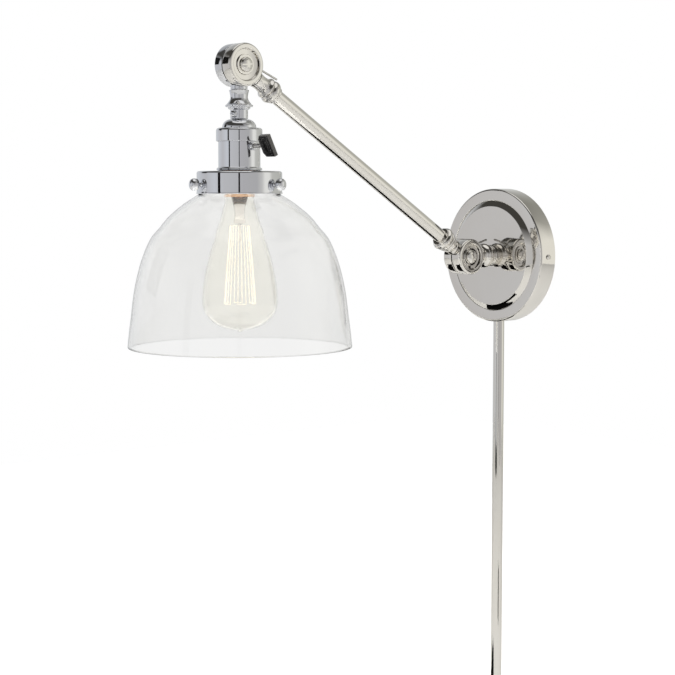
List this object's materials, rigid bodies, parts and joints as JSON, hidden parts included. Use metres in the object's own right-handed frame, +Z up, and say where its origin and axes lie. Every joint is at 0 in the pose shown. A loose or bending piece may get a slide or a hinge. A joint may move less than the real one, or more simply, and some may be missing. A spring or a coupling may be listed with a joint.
{
  "type": "swing arm wall sconce",
  "caption": "Wall lamp in polished nickel: round stepped canopy, knuckle-jointed slanted arm, keyed lamp socket, clear glass bowl shade, filament bulb and a straight cord cover tube.",
  "frame": {"origin": "centre of the mounting bracket's back face, on the wall plane", "axes": "+Z up, +Y into the wall, the arm reaches out towards -Y, the turn key is on the +X side"},
  "size_m": [0.19, 0.4176, 0.7078],
  "materials": {
    "polished_nickel": "polished nickel plate on brass, mirror bright",
    "steel": "zinc-plated steel",
    "brass": "plain brass",
    "black_plastic": "moulded, semi-gloss",
    "insulation": "matt cable jacket",
    "fibre": "pressed fibre board",
    "ceramic": "glazed porcelain, stands in as hard plastic",
    "clear_glass": "clear blown glass",
    "amber_glass": "faintly amber bulb glass",
    "filament": "glowing filament wire",
    "green_paint": "green earth screw"
  },
  "bodies": {
    "root": {"mounting_bracket": "steel", "ground_screw": "green_paint", "canopy": "polished_nickel", "canopy_screw_right": "polished_nickel", "canopy_screw_left": "polished_nickel", "threaded_nipple": "steel", "nipple_nut": "steel", "cord_cover_tube": "polished_nickel", "cord_cover_nut": "steel", "cord_cover_bushing": "black_plastic", "canopy_cable": "insulation"},
    "neck": {"swivel_neck": "polished_nickel", "wall_knuckle_front": "polished_nickel", "wall_pivot_screw": "polished_nickel", "wall_pivot_washer": "polished_nickel", "wall_pivot_nut": "polished_nickel"},
    "wall_lever": {"wall_tension_lever": "steel"},
    "arm": {"wall_knuckle_back": "polished_nickel", "arm_collar_wall": "polished_nickel", "arm_tube": "polished_nickel", "arm_collar_head": "polished_nickel", "arm_cable": "insulation", "head_knuckle_front": "polished_nickel", "head_pivot_screw": "polished_nickel", "head_pivot_washer": "polished_nickel", "head_pivot_nut": "polished_nickel"},
    "head_lever": {"head_tension_lever": "steel"},
    "key": {"key_shaft": "steel", "key_paddle": "black_plastic"},
    "thumb_1": {"thumb_screw_1": "polished_nickel"},
    "thumb_2": {"thumb_screw_2": "polished_nickel"},
    "thumb_3": {"thumb_screw_3": "polished_nickel"},
    "head": {"head_knuckle_back": "polished_nickel", "head_stem": "polished_nickel", "stem_set_screw": "polished_nickel", "socket_cap": "polished_nickel", "stem_locknut": "steel", "socket_shell": "polished_nickel", "socket_liner": "fibre", "socket_body": "ceramic", "socket_screw_shell": "brass", "socket_centre_contact": "brass", "hot_terminal_screw": "brass", "neutral_terminal_screw": "brass", "hot_lead": "insulation", "neutral_lead": "insulation", "key_bushing": "polished_nickel", "socket_sleeve": "black_plastic", "shade_ring_nut": "polished_nickel", "shade_holder": "polished_nickel", "glass_shade": "clear_glass", "bulb_base": "brass", "bulb_insulator": "black_plastic", "bulb_contact": "steel", "bulb_glass": "amber_glass", "bulb_glass_mount": "amber_glass", "bulb_filament": "filament"}
  },
  "joints": [
    {"name": "neck_swivel", "type": "hinge", "parent": "root", "child": "neck", "pos_m": [0, 0, 0], "axis": [0, -1, 0], "range_deg": [-90, 90]},
    {"name": "arm_tilt", "type": "hinge", "parent": "neck", "child": "arm", "pos_m": [0, -0.0574, 0], "axis": [-1, 0, 0], "range_deg": [-60, 35]},
    {"name": "head_tilt", "type": "hinge", "parent": "arm", "child": "head", "pos_m": [0, -0.3226, 0.167], "axis": [-1, 0, 0], "range_deg": [-10, 90]},
    {"name": "wall_lever_turn", "type": "hinge", "parent": "neck", "child": "wall_lever", "pos_m": [0, -0.0574, 0], "axis": [1, 0, 0], "range_deg": [0, 20]},
    {"name": "head_lever_turn", "type": "hinge", "parent": "arm", "child": "head_lever", "pos_m": [0, -0.3226, 0.167], "axis": [1, 0, 0], "range_deg": [0, 30]},
    {"name": "key_turn", "type": "hinge", "parent": "head", "child": "key", "pos_m": [0, -0.3226, 0.0994], "axis": [1, 0, 0], "continuous": true},
    {"name": "thumb_screw_1_travel", "type": "slide", "parent": "head", "child": "thumb_1", "axis": [0.9511, 0.309, 0], "range_m": [0, 0.004]},
    {"name": "thumb_screw_2_travel", "type": "slide", "parent": "head", "child": "thumb_2", "axis": [-0.7431, 0.6691, 0], "range_m": [0, 0.004]},
    {"name": "thumb_screw_3_travel", "type": "slide", "parent": "head", "child": "thumb_3", "axis": [-0.2079, -0.9781, 0], "range_m": [0, 0.004]}
  ]
}
